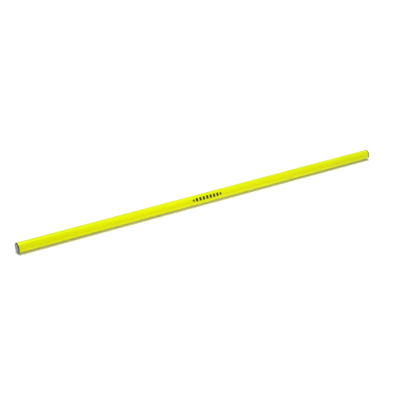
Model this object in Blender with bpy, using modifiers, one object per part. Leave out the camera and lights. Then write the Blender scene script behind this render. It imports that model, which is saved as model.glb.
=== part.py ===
"""Alignment stick: a straight round plastic tube with a push-in plug in each end.

The stick lies on the ground along X. The origin is under the middle of its length, on the surface it lies on.
Lengths are in metres. Every piece is turned about the stick's axis, so each is a profile with a Screw modifier.
"""

import math

import bpy

# Driving dimensions
STICK_LENGTH = 1.000
TUBE_RADIUS = 0.0125
TUBE_WALL = 0.0018
FACETS = 32  # a multiple of 4, so that a flat faces down and the stick measures the same each way
PLUG_TRAVEL = 0.030  # how far a plug is drawn out along the axis, which takes its nose clear of the tube

# Tube
TUBE_EDGE = 0.0003  # chamfer on the sawn ends, inside and outside

# Plug head, the disc that shows at each end
HEAD_THICKNESS = 0.0025
HEAD_STEP = 0.0001  # the head's rim stands this far inside the tube's surface
HEAD_ROUNDING = 0.0007
SEAT_GAP = 0.0003  # between the head and the sawn end of the tube

# Plug shank, the ribbed sleeve inside the tube
SHANK_LENGTH = 0.0190
SHANK_RADIUS = 0.0091
SHANK_WALL = 0.0016
NOSE_TAPER = 0.0012
NECK_LENGTH = 0.0020  # plain stretch between the head and the first barb
BARB_COUNT = 4
BARB_PITCH = 0.0038
BARB_RUN = 0.0026  # length of a barb's crest and sloping side together
BARB_CREST = 0.0004  # flat on the crest of a barb
BARB_CLEARANCE = 0.0003  # the barbs are drawn at the size they spring back to
WEB_THICKNESS = 0.0022  # plastic behind the head where the shank is hollow
WEB_ROUNDING = 0.0012  # fillet between that web and the wall of the hollow

BORE_RADIUS = TUBE_RADIUS - TUBE_WALL
BARB_RADIUS = BORE_RADIUS - BARB_CLEARANCE
TUBE_LENGTH = STICK_LENGTH - 2 * (HEAD_THICKNESS + SEAT_GAP)
HALF_FACET = math.pi / FACETS

YELLOW = (0.74, 0.82, 0.004, 1.0)
BLACK = (0.012, 0.012, 0.013, 1.0)
MERGE = 1e-5


def clear_scene():
    for obj in list(bpy.data.objects):
        bpy.data.objects.remove(obj)


def material(name, color, roughness):
    mat = bpy.data.materials.new(name)
    mat.use_nodes = True
    shader = mat.node_tree.nodes["Principled BSDF"]
    shader.inputs["Base Color"].default_value = color
    shader.inputs["Roughness"].default_value = roughness
    shader.inputs["Metallic"].default_value = 0.0
    mat.diffuse_color = color
    return mat


def quarter_arc(centre_r, centre_z, radius, steps=4):
    """Points (r, z) from the top of a quarter circle, outwards and down to its side."""
    angles = [math.radians(90 - 90 * i / steps) for i in range(steps + 1)]
    return [(centre_r + radius * math.cos(a), centre_z + radius * math.sin(a)) for a in angles]


def turned(name, profile, closed, mat, collection):
    """A piece turned about its local Z from (r, z) points that run down its outer side.

    Each r is the distance to the middle of a facet, and the profile lies along a corner between two facets.
    """
    points = [(r, r * math.tan(HALF_FACET), z) for r, z in profile]
    edges = [(i, i + 1) for i in range(len(points) - 1)]
    if closed:
        edges.append((len(points) - 1, 0))
    mesh = bpy.data.meshes.new(name)
    mesh.from_pydata(points, edges, [])
    mesh.materials.append(mat)
    obj = bpy.data.objects.new(name, mesh)
    collection.objects.link(obj)
    screw = obj.modifiers.new("turn", "SCREW")
    screw.axis = "Z"
    screw.steps = FACETS
    screw.render_steps = FACETS
    screw.use_merge_vertices = True
    screw.merge_threshold = MERGE
    screw.use_smooth_shade = True
    return obj


def tube_profile():
    """A closed loop round the wall: down the outer side and up the bore. z is 0 at mid-length."""
    top = TUBE_LENGTH / 2
    return [
        (TUBE_RADIUS - TUBE_EDGE, top),
        (TUBE_RADIUS, top - TUBE_EDGE),
        (TUBE_RADIUS, TUBE_EDGE - top),
        (TUBE_RADIUS - TUBE_EDGE, -top),
        (BORE_RADIUS + TUBE_EDGE, -top),
        (BORE_RADIUS, TUBE_EDGE - top),
        (BORE_RADIUS, top - TUBE_EDGE),
        (BORE_RADIUS + TUBE_EDGE, top),
    ]


def barb(top):
    """One sawtooth rib: a square shoulder towards the head, then a slope towards the nose."""
    return [
        (SHANK_RADIUS, top),
        (BARB_RADIUS, top),
        (BARB_RADIUS, top - BARB_CREST),
        (SHANK_RADIUS, top - BARB_RUN),
    ]


def plug_profile():
    """From the middle of the head's face, out and down over the barbs, then up inside the hollow shank.

    z is 0 at the head's outer face, and the nose points down.
    """
    head_radius = TUBE_RADIUS - HEAD_STEP
    seat = -HEAD_THICKNESS
    nose = seat - SHANK_LENGTH
    hollow_radius = SHANK_RADIUS - SHANK_WALL
    web = seat - WEB_THICKNESS

    points = [(0.0, 0.0)]
    points += quarter_arc(head_radius - HEAD_ROUNDING, -HEAD_ROUNDING, HEAD_ROUNDING)
    points += [(head_radius, seat), (SHANK_RADIUS, seat)]
    for i in range(BARB_COUNT):
        points += barb(seat - NECK_LENGTH - i * BARB_PITCH)
    points += [
        (SHANK_RADIUS, nose + NOSE_TAPER),
        (SHANK_RADIUS - NOSE_TAPER / 2, nose),
        (hollow_radius, nose),
    ]
    points += reversed(quarter_arc(hollow_radius - WEB_ROUNDING, web - WEB_ROUNDING, WEB_ROUNDING))
    points.append((0.0, web))
    return points


def slide_axis(name, side, collection):
    """An empty at the middle of a head's face, with its Z along the way that plug comes out."""
    empty = bpy.data.objects.new(name, None)
    empty.location = (side * STICK_LENGTH / 2, 0.0, TUBE_RADIUS)
    empty.rotation_euler = (0.0, side * math.radians(90), 0.0)
    empty.empty_display_type = "SINGLE_ARROW"
    empty.empty_display_size = PLUG_TRAVEL
    collection.objects.link(empty)
    return empty


def build():
    clear_scene()
    stick = bpy.data.collections.new("alignment_stick")
    bpy.context.scene.collection.children.link(stick)

    yellow = material("yellow_plastic", YELLOW, 0.35)
    black = material("black_plastic", BLACK, 0.45)

    tube = turned("tube", tube_profile(), True, yellow, stick)
    tube.location = (0.0, 0.0, TUBE_RADIUS)
    tube.rotation_euler = (0.0, math.radians(90), 0.0)

    for name, side in (("left_end_plug", -1), ("right_end_plug", 1)):
        plug = turned(name, plug_profile(), False, black, stick)
        plug.parent = slide_axis(name + "_slide", side, stick)


build()
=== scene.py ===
"""Looks of the alignment stick: a satin yellow tube, two black end plugs and the print at mid-length."""

import math

import bmesh
import bpy
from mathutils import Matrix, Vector


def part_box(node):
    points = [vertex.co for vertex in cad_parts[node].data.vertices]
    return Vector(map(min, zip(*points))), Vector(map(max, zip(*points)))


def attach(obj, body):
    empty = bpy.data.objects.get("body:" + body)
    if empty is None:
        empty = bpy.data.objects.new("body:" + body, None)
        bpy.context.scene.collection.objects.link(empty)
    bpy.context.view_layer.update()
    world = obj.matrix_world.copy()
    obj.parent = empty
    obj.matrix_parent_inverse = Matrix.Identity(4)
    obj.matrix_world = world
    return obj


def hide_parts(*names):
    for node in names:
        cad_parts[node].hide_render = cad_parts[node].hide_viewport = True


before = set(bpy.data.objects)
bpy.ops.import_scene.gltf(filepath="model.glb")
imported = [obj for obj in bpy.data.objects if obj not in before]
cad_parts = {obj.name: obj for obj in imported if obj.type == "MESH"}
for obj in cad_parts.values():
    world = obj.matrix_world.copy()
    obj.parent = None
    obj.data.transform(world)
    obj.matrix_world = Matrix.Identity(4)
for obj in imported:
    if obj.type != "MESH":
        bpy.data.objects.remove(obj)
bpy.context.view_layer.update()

# Places and sizes that the CAD model gives
TUBE_LOW, TUBE_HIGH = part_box("tube")
TUBE_RADIUS = (TUBE_HIGH.z - TUBE_LOW.z) / 2
AXIS_HEIGHT = (TUBE_HIGH.z + TUBE_LOW.z) / 2
PLUG_LOW, PLUG_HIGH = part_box("right_end_plug")
PLUG_RADIUS = (PLUG_HIGH.z - PLUG_LOW.z) / 2
PLUG_LENGTH = PLUG_HIGH.x - PLUG_LOW.x
STICK_END = PLUG_HIGH.x

# Sizes that repeat part.py's, because a box doesn't show them
TUBE_WALL = 0.0018
TUBE_EDGE = 0.0003
HEAD_THICKNESS = 0.0025
HEAD_ROUNDING = 0.0007
SHANK_RADIUS = 0.0091
SHANK_WALL = 0.0016
BARB_COUNT = 4
BARB_PITCH = 0.0038
BARB_RUN = 0.0026
BARB_CREST = 0.0004
BARB_CLEARANCE = 0.0003
NECK_LENGTH = 0.0020
NOSE_TAPER = 0.0012
WEB_THICKNESS = 0.0022
WEB_ROUNDING = 0.0012
BORE_RADIUS = TUBE_RADIUS - TUBE_WALL
BARB_RADIUS = BORE_RADIUS - BARB_CLEARANCE

SEGMENTS = 192  # round each turned piece
SHARP_ANGLE = math.radians(40)  # a crease that is steeper than this isn't smoothed
TAU = 2 * math.pi
MICRON = 1e-6


# ---------------------------------------------------------------- shapes

def arc(centre_x, centre_r, radius, start, end, steps):
    """Points (x, r) on an arc. Angles are in degrees from the +x direction towards +r."""
    points = []
    for i in range(steps + 1):
        a = math.radians(start + (end - start) * i / steps)
        points.append((centre_x + radius * math.cos(a), centre_r + radius * math.sin(a)))
    return points


def turned(name, profile, closed=False):
    """A piece turned about the stick's axis from (x, r) points. An r of 0 is a point on the axis."""
    angles = [TAU * i / SEGMENTS for i in range(SEGMENTS)]
    bm = bmesh.new()
    rings = []
    for x, r in profile:
        if r == 0.0:
            rings.append([bm.verts.new((x, 0.0, AXIS_HEIGHT))])
            continue
        ring = [(x, r * math.cos(a), AXIS_HEIGHT + r * math.sin(a)) for a in angles]
        rings.append([bm.verts.new(point) for point in ring])
    pairs = list(zip(rings, rings[1:]))
    if closed:
        pairs.append((rings[-1], rings[0]))
    for a, b in pairs:
        for i in range(SEGMENTS):
            j = (i + 1) % SEGMENTS
            corners = [a[i % len(a)], a[j % len(a)], b[j % len(b)], b[i % len(b)]]
            bm.faces.new(list(dict.fromkeys(corners)))
    return finished(name, bm)


def finished(name, bm):
    """The object that a bmesh makes, with its faces turned outwards and its true edges kept sharp."""
    bmesh.ops.recalc_face_normals(bm, faces=bm.faces)
    mesh = bpy.data.meshes.new(name)
    bm.to_mesh(mesh)
    bm.free()
    mesh.shade_smooth()
    mesh.set_sharp_from_angle(angle=SHARP_ANGLE)
    obj = bpy.data.objects.new(name, mesh)
    bpy.context.scene.collection.objects.link(obj)
    return obj


def make_tube():
    """The extruded tube, with its sawn ends eased inside and out."""
    spans = 50  # rows of faces along its length
    straight = TUBE_HIGH.x - TUBE_EDGE
    outer, inner = TUBE_RADIUS - TUBE_EDGE, BORE_RADIUS + TUBE_EDGE  # middles of the eased edges
    stations = [straight * (1 - 2 * i / spans) for i in range(spans + 1)]

    profile = [(x, TUBE_RADIUS) for x in stations]
    profile += arc(-straight, outer, TUBE_EDGE, 90, 180, steps=4)[1:]
    profile += arc(-straight, inner, TUBE_EDGE, 180, 270, steps=4)
    profile += [(-x, BORE_RADIUS) for x in stations[1:]]
    profile += arc(straight, inner, TUBE_EDGE, -90, 0, steps=4)[1:]
    profile += arc(straight, outer, TUBE_EDGE, 0, 90, steps=4)[:-1]
    return turned("stick_tube", profile, closed=True)


def barb_profile(shoulder):
    """One barb, from its shoulder towards the nose, with its corners eased."""
    ease = 0.00015
    bevel, slope = ease * 0.3, ease * 0.4  # at the shoulder's corner, and at both ends of the slope
    crest_end = shoulder - BARB_CREST
    foot = shoulder - BARB_RUN
    return [
        (shoulder, SHANK_RADIUS),
        (shoulder, BARB_RADIUS - ease),
        (shoulder - bevel, BARB_RADIUS - bevel),
        (shoulder - ease, BARB_RADIUS),
        (crest_end, BARB_RADIUS),
        (crest_end - ease, BARB_RADIUS - slope),
        (foot + ease, SHANK_RADIUS + slope),
        (foot, SHANK_RADIUS),
    ]


def make_plug(name, side):
    """A plug with a flat head, a small gate mark in its middle, barbs and a hollow shank."""
    gate_radius, gate_depth = 0.0015, 0.00025  # the dimple where the plastic came in
    nub_radius, nub_height = 0.0005, 0.00015  # the cut-off stub inside the dimple
    nub_top = nub_radius * 0.7
    ease = 0.0002  # at the head's back edge and round the nose
    root = 0.0003  # where the shank meets the head
    face_spans = 9  # rows of faces between the dimple and the head's rounding

    face = STICK_END
    dimple = face - gate_depth
    seat = face - HEAD_THICKNESS
    web = seat - WEB_THICKNESS
    nose = face - PLUG_LENGTH
    flat_radius = PLUG_RADIUS - HEAD_ROUNDING
    nose_radius = SHANK_RADIUS - NOSE_TAPER / 2
    hollow = SHANK_RADIUS - SHANK_WALL

    profile = [(dimple + nub_height, 0.0), (dimple + nub_height, nub_top)]
    profile += [(dimple, nub_radius), (dimple, gate_radius - gate_depth)]
    profile += arc(dimple, gate_radius, gate_depth, -90, 0, steps=4)[1:]
    for i in range(1, face_spans):
        profile.append((face, gate_radius + (flat_radius - gate_radius) * i / face_spans))
    profile += arc(face - HEAD_ROUNDING, flat_radius, HEAD_ROUNDING, 0, 90, steps=8)
    profile += arc(seat + ease, PLUG_RADIUS - ease, ease, 90, 180, steps=3)
    profile += [(seat, SHANK_RADIUS + root), (seat - root, SHANK_RADIUS)]
    for i in range(BARB_COUNT):
        profile += barb_profile(seat - NECK_LENGTH - i * BARB_PITCH)
    profile += [(nose + NOSE_TAPER, SHANK_RADIUS), (nose + ease, nose_radius)]
    profile += [(nose, nose_radius - ease), (nose, hollow + ease), (nose + ease, hollow)]
    profile += arc(web - WEB_ROUNDING, hollow - WEB_ROUNDING, WEB_ROUNDING, 90, 0, steps=6)
    profile.append((web, 0.0))
    return turned(name, [(side * x, r) for x, r in profile])


# ---------------------------------------------------------------- the print at mid-length

PRINT_CENTRE_X = -0.0145
PRINT_LENGTH = 0.084
PRINT_HEIGHT = 0.0086
PRINT_ELEVATION = math.radians(30)  # it faces the front, this far above level
INK_PROUD = 30 * MICRON
INK_SUNK = 20 * MICRON
BAR_COUNT = 7
BAR_WIDTH = 0.0058
ARROW_LENGTH = 0.0060
ARROW_TIP = 20 * MICRON  # half the height of an arrowhead's blunt tip


def on_tube(x, around, radius):
    """A point on the tube's side. around is how far up the side it is from the print's middle line."""
    a = math.pi - PRINT_ELEVATION - around / TUBE_RADIUS
    return (x, radius * math.cos(a), AXIS_HEIGHT + radius * math.sin(a))


def ink_patch(bm, x0, x1, half_height, columns=6, rows=10):
    """A closed film of ink from x0 to x1. half_height takes how far across it is, from 0 to 1."""
    layers = []
    for radius in (TUBE_RADIUS + INK_PROUD, TUBE_RADIUS - INK_SUNK):
        grid = []
        for i in range(columns + 1):
            share = i / columns
            x = x0 + (x1 - x0) * share
            half = half_height(share)
            column = [on_tube(x, half * (2 * j / rows - 1), radius) for j in range(rows + 1)]
            grid.append([bm.verts.new(point) for point in column])
        layers.append(grid)
        for i in range(columns):
            for j in range(rows):
                bm.faces.new((grid[i][j], grid[i + 1][j], grid[i + 1][j + 1], grid[i][j + 1]))
    top, bottom = layers
    edge = [(i, 0) for i in range(columns + 1)]
    edge += [(columns, j) for j in range(1, rows + 1)]
    edge += [(i, rows) for i in range(columns - 1, -1, -1)]
    edge += [(0, j) for j in range(rows - 1, 0, -1)]
    for (i, j), (k, m) in zip(edge, edge[1:] + edge[:1]):
        bm.faces.new((top[i][j], top[k][m], bottom[k][m], bottom[i][j]))


def make_print():
    """A row of plain bars between two arrowheads, in place of lettering."""
    left = PRINT_CENTRE_X - PRINT_LENGTH / 2
    right = left + PRINT_LENGTH
    gap = (PRINT_LENGTH - 2 * ARROW_LENGTH - BAR_COUNT * BAR_WIDTH) / (BAR_COUNT + 1)
    half = PRINT_HEIGHT / 2
    bm = bmesh.new()
    for i in range(BAR_COUNT):
        start = left + ARROW_LENGTH + gap + i * (BAR_WIDTH + gap)
        ink_patch(bm, start, start + BAR_WIDTH, lambda share: half, columns=3)
    ink_patch(bm, left, left + ARROW_LENGTH, lambda share: max(ARROW_TIP, half * share))
    ink_patch(bm, right - ARROW_LENGTH, right, lambda share: max(ARROW_TIP, half * (1 - share)))
    return finished("print_marks", bm)


# ---------------------------------------------------------------- materials

class Nodes:
    """Short calls for a material's nodes and links. Every piece is built in place, on the stick's axes."""

    def __init__(self, name):
        self.material = bpy.data.materials.new(name)
        self.material.use_nodes = True
        self.tree = self.material.node_tree
        self.shader = self.tree.nodes["Principled BSDF"]
        self.coords = self.tree.nodes.new("ShaderNodeTexCoord").outputs["Object"]

    def link(self, source, target):
        self.tree.links.new(source, target)

    def mapped(self, scale, location=(0.0, 0.0, 0.0)):
        """The coordinates, times scale and then moved by location."""
        node = self.tree.nodes.new("ShaderNodeMapping")
        node.inputs["Location"].default_value = location
        node.inputs["Scale"].default_value = scale
        self.link(self.coords, node.inputs["Vector"])
        return node.outputs["Vector"]

    def noise(self, scale, detail=3.0, roughness=0.55, distortion=0.0):
        """Noise whose cells are 1 / scale metres along each axis."""
        node = self.tree.nodes.new("ShaderNodeTexNoise")
        node.inputs["Scale"].default_value = 1.0
        node.inputs["Detail"].default_value = detail
        node.inputs["Roughness"].default_value = roughness
        node.inputs["Distortion"].default_value = distortion
        self.link(self.mapped(scale), node.inputs["Vector"])
        return node.outputs["Fac"]

    def even_noise(self, scale, **options):
        """Noise with cells that are as long every way."""
        return self.noise((scale, scale, scale), **options)

    def from_axis(self):
        """The distance from the stick's axis."""
        length = self.tree.nodes.new("ShaderNodeVectorMath")
        length.operation = "LENGTH"
        across = self.mapped((0.0, 1.0, 1.0), (0.0, 0.0, -AXIS_HEIGHT))
        self.link(across, length.inputs[0])
        return length.outputs["Value"]

    def end_on(self):
        """1 on faces square to the stick's axis, 0 on its round sides."""
        geometry = self.tree.nodes.new("ShaderNodeNewGeometry")
        split = self.tree.nodes.new("ShaderNodeSeparateXYZ")
        self.link(geometry.outputs["True Normal"], split.inputs["Vector"])
        return self.ranged(self.maths("ABSOLUTE", split.outputs["X"]), 0.85, 0.95)

    def ranged(self, value, low, high, to_low=0.0, to_high=1.0):
        """to_low where the value is low or less, to_high where it is high or more."""
        node = self.tree.nodes.new("ShaderNodeMapRange")
        self.link(value, node.inputs["Value"])
        node.inputs["From Min"].default_value = low
        node.inputs["From Max"].default_value = high
        node.inputs["To Min"].default_value = to_low
        node.inputs["To Max"].default_value = to_high
        return node.outputs["Result"]

    def maths(self, operation, a, b=0.0):
        """a and b are floats or sockets."""
        node = self.tree.nodes.new("ShaderNodeMath")
        node.operation = operation
        for socket, value in zip(node.inputs, (a, b)):
            if isinstance(value, float):
                socket.default_value = value
            else:
                self.link(value, socket)
        return node.outputs["Value"]

    def times(self, a, b):
        return self.maths("MULTIPLY", a, b)

    def mixed(self, share, a, b):
        """Colour a where share is 0, and colour b where it is 1."""
        node = self.tree.nodes.new("ShaderNodeMix")
        node.data_type = "RGBA"
        self.link(share, node.inputs["Factor"])
        for socket, value in ((node.inputs["A"], a), (node.inputs["B"], b)):
            if isinstance(value, tuple):
                socket.default_value = value
            else:
                self.link(value, socket)
        return node.outputs["Result"]

    def bump(self, height, distance, before=None):
        """A normal, raised by distance where height is 1, on top of the normal before it."""
        node = self.tree.nodes.new("ShaderNodeBump")
        node.inputs["Strength"].default_value = 1.0
        node.inputs["Distance"].default_value = distance
        self.link(height, node.inputs["Height"])
        if before is not None:
            self.link(before, node.inputs["Normal"])
        return node.outputs["Normal"]

    def finish(self, color, roughness, normal):
        self.link(color, self.shader.inputs["Base Color"])
        self.link(roughness, self.shader.inputs["Roughness"])
        self.link(normal, self.shader.inputs["Normal"])
        return self.material


# Colours are linear, with an alpha of 1
YELLOW_DEEP = (0.62, 0.70, 0.001, 1.0)
YELLOW_PALE = (0.67, 0.735, 0.001, 1.0)
YELLOW_STREAK = (0.56, 0.64, 0.001, 1.0)
YELLOW_RUB = (0.78, 0.82, 0.16, 1.0)
YELLOW_SCRATCH = (0.80, 0.84, 0.22, 1.0)
YELLOW_SAWN = (0.80, 0.84, 0.20, 1.0)
WARM_GLOSS = (1.0, 1.0, 0.0, 1.0)  # without blue, so that highlights on the tube and its print stay yellow


def yellow_plastic():
    """Extruded plastic: die lines along the stick, an orange peel, drift, rubs, scratches and sawn ends."""
    n = Nodes("yellow_plastic")
    drift = n.noise((9.0, 60.0, 60.0), detail=2.0)
    streaks = n.noise((2.5, 900.0, 900.0), detail=4.0, roughness=0.6)
    fine_streaks = n.noise((6.0, 3200.0, 3200.0), detail=2.0)
    peel = n.even_noise(1400.0, detail=2.0)
    rubs = n.noise((22.0, 240.0, 240.0), detail=5.0, roughness=0.65, distortion=0.6)
    scratches = n.noise((160.0, 2600.0, 2600.0), detail=2.0, roughness=0.5, distortion=1.2)
    saw_lines = n.noise((300.0, 260.0, 9000.0), detail=3.0)
    sawn = n.end_on()
    rubbed = n.ranged(rubs, 0.60, 0.75, 0.0, 0.10)
    scratched = n.ranged(scratches, 0.70, 0.76, 0.0, 0.30)

    base = n.mixed(n.ranged(drift, 0.35, 0.65), YELLOW_DEEP, YELLOW_PALE)
    base = n.mixed(n.ranged(streaks, 0.45, 0.85, 0.0, 0.25), base, YELLOW_STREAK)
    base = n.mixed(rubbed, base, YELLOW_RUB)
    base = n.mixed(scratched, base, YELLOW_SCRATCH)
    base = n.mixed(n.times(sawn, 0.35), base, YELLOW_SAWN)

    roughness = n.ranged(streaks, 0.3, 0.7, 0.24, 0.32)
    for mark, rougher in ((rubbed, 1.2), (scratched, 0.5), (sawn, 0.3)):
        roughness = n.maths("ADD", roughness, n.times(mark, rougher))

    normal = n.bump(streaks, 12 * MICRON)
    normal = n.bump(fine_streaks, 3 * MICRON, normal)
    normal = n.bump(peel, 4 * MICRON, normal)
    normal = n.bump(n.times(saw_lines, sawn), 60 * MICRON, normal)
    n.shader.inputs["Specular IOR Level"].default_value = 0.4
    n.shader.inputs["Specular Tint"].default_value = WARM_GLOSS
    return n.finish(base, roughness, normal)


BLACK_DEEP = (0.006, 0.006, 0.006, 1.0)
BLACK_PALE = (0.011, 0.011, 0.011, 1.0)
# grey for the flat end faces: partly dust, partly a painted sheen that stands in for the reflection they
# show
BLACK_DUST_AND_SHEEN = (0.085, 0.083, 0.078, 1.0)
BLACK_SCUFF = (0.12, 0.12, 0.115, 1.0)
BLACK_RIM = (0.09, 0.09, 0.088, 1.0)
RING_PITCH = 0.0005  # between the rings that turning left on the mould
WEAR_BEGINS = 0.0009  # the rim's wear begins this far inside the head's edge
WEAR_FULL = 0.0003  # and is full this far inside it


def black_plastic():
    """Moulded plastic: a spark-eroded grain, rings on its flat faces, a grey on those faces that is partly
    dust and partly painted sheen, scuffs and a rubbed rim.
    """
    n = Nodes("black_plastic")
    grain = n.even_noise(4200.0, detail=3.0)
    clouds = n.even_noise(180.0, detail=3.0)
    scuffs = n.even_noise(500.0, detail=4.0, roughness=0.7, distortion=0.8)
    flat = n.end_on()
    out = n.from_axis()
    rings = n.times(n.maths("SINE", n.times(out, TAU / RING_PITCH)), flat)
    rim = n.ranged(out, PLUG_RADIUS - WEAR_BEGINS, PLUG_RADIUS - WEAR_FULL)
    # the flat faces are lightened in their colour: partly dust, partly a painted sheen in place of a
    # reflection
    dust_and_sheen = n.times(flat, n.ranged(clouds, 0.3, 0.7, 0.6, 1.0))
    scuffed = n.ranged(scuffs, 0.62, 0.74, 0.0, 0.35)
    rubbed = n.times(rim, n.ranged(scuffs, 0.50, 0.70, 0.0, 0.2))

    base = n.mixed(n.ranged(clouds, 0.35, 0.65), BLACK_DEEP, BLACK_PALE)
    base = n.mixed(dust_and_sheen, base, BLACK_DUST_AND_SHEEN)
    base = n.mixed(scuffed, base, BLACK_SCUFF)
    base = n.mixed(rubbed, base, BLACK_RIM)

    roughness = n.maths("ADD", n.ranged(clouds, 0.3, 0.7, 0.18, 0.26), n.times(scuffed, 0.5))
    normal = n.bump(grain, 22 * MICRON)
    normal = n.bump(rings, 3 * MICRON, normal)
    n.shader.inputs["Specular IOR Level"].default_value = 0.7
    return n.finish(base, roughness, normal)


INK_BLACK = (0.022, 0.022, 0.001, 1.0)
INK_PINHOLE = (0.10, 0.10, 0.002, 1.0)


def black_ink():
    """A thin printed film of warm black, with pinholes of a browner, thinner ink."""
    n = Nodes("black_ink")
    thin = n.even_noise(3600.0, detail=3.0)
    base = n.mixed(n.ranged(thin, 0.60, 0.74), INK_BLACK, INK_PINHOLE)
    roughness = n.ranged(thin, 0.3, 0.7, 0.38, 0.5)
    n.shader.inputs["Specular Tint"].default_value = WARM_GLOSS
    return n.finish(base, roughness, n.bump(thin, 4 * MICRON))


# ---------------------------------------------------------------- the stick

def build_stick():
    tube = make_tube()
    tube.data.materials.append(yellow_plastic())
    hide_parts("tube")
    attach(tube, "tube")

    black = black_plastic()
    for name, node, side in (("left_plug", "left_end_plug", -1), ("right_plug", "right_end_plug", 1)):
        plug = make_plug(name, side)
        plug.data.materials.append(black)
        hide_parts(node)
        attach(plug, node)

    marks = make_print()
    marks.data.materials.append(black_ink())
    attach(marks, "tube")


# ---------------------------------------------------------------- floor, light and camera

FLOOR_HALF = 60.0  # far enough that its edge doesn't show
FLOOR_COLOR = (0.95, 0.95, 0.95, 1.0)
WHITE = (1.0, 1.0, 1.0, 1.0)
DOME_ON_STICK = 0.40  # the dome's strength as a light
DOME_IN_VIEW = 1.0  # its strength where it shows behind the floor
KEY_STRENGTH = 2.56
KEY_COLOR = (0.93, 1.0, 0.95)
KEY_SPREAD = math.radians(30)  # how wide the key looks from the stick
KEY_TILT = math.radians(-10)  # it comes from a little behind the stick
PANEL_SIZE = 0.35
CAMERA_PLACE = (-1.0074, -1.6357, 0.9706)
CAMERA_DOWN = 26.76  # degrees below level
CAMERA_RIGHT = 30.89  # degrees to the right of straight across the stick
CAMERA_LENS = 78.34
CAMERA_SENSOR = 36.0


def make_floor():
    bm = bmesh.new()
    bmesh.ops.create_grid(bm, x_segments=1, y_segments=1, size=FLOOR_HALF)
    mesh = bpy.data.meshes.new("floor")
    bm.to_mesh(mesh)
    bm.free()
    floor = bpy.data.objects.new("floor", mesh)
    bpy.context.scene.collection.objects.link(floor)
    material = bpy.data.materials.new("pale_floor")
    material.use_nodes = True
    shader = material.node_tree.nodes["Principled BSDF"]
    shader.inputs["Base Color"].default_value = FLOOR_COLOR
    shader.inputs["Roughness"].default_value = 0.9
    mesh.materials.append(material)


def make_dome():
    """An even white world, dimmer as a light than where it shows in the picture."""
    world = bpy.data.worlds.new("studio")
    bpy.context.scene.world = world
    world.use_nodes = True
    tree = world.node_tree
    background = tree.nodes["Background"]
    background.inputs["Color"].default_value = WHITE
    seen = tree.nodes.new("ShaderNodeLightPath").outputs["Is Camera Ray"]
    strength = tree.nodes.new("ShaderNodeMapRange")
    strength.inputs["To Min"].default_value = DOME_ON_STICK
    strength.inputs["To Max"].default_value = DOME_IN_VIEW
    tree.links.new(seen, strength.inputs["Value"])
    tree.links.new(strength.outputs["Result"], background.inputs["Strength"])


def add_light(name, kind, energy, color):
    light = bpy.data.objects.new(name, bpy.data.lights.new(name, kind))
    bpy.context.scene.collection.objects.link(light)
    light.data.energy = energy
    light.data.color = color
    return light


def add_panel(name, watts, color, place, aimed_at_x):
    """A round panel that faces a point on the stick's axis. It shows neither itself nor its reflection."""
    light = add_light(name, "AREA", watts, color)
    light.data.shape = "DISK"
    light.data.size = PANEL_SIZE
    light.location = place
    towards = Vector((aimed_at_x, 0.0, AXIS_HEIGHT)) - light.location
    light.rotation_euler = towards.to_track_quat("-Z", "Y").to_euler()
    light.visible_camera = False
    light.visible_glossy = False


def make_lights():
    """A soft key light almost overhead and two warm panels low in front of the stick."""
    key = add_light("key", "SUN", KEY_STRENGTH, KEY_COLOR)
    key.data.angle = KEY_SPREAD
    key.rotation_euler = (KEY_TILT, 0.0, 0.0)
    add_panel("near_panel", 0.76, (1.0, 0.70, 0.45), place=(-0.12, -0.70, 0.25), aimed_at_x=-0.12)
    add_panel("far_panel", 3.2, (1.0, 0.88, 0.75), place=(0.05, -1.10, 0.35), aimed_at_x=-0.05)


def make_camera():
    data = bpy.data.cameras.new("camera")
    data.sensor_width = CAMERA_SENSOR
    data.lens = CAMERA_LENS
    camera = bpy.data.objects.new("camera", data)
    camera.location = CAMERA_PLACE
    camera.rotation_euler = (math.radians(90 - CAMERA_DOWN), 0.0, math.radians(-CAMERA_RIGHT))
    bpy.context.scene.collection.objects.link(camera)
    bpy.context.scene.camera = camera


build_stick()
make_floor()
make_dome()
make_lights()
make_camera()
bpy.context.scene.view_settings.view_transform = "Standard"
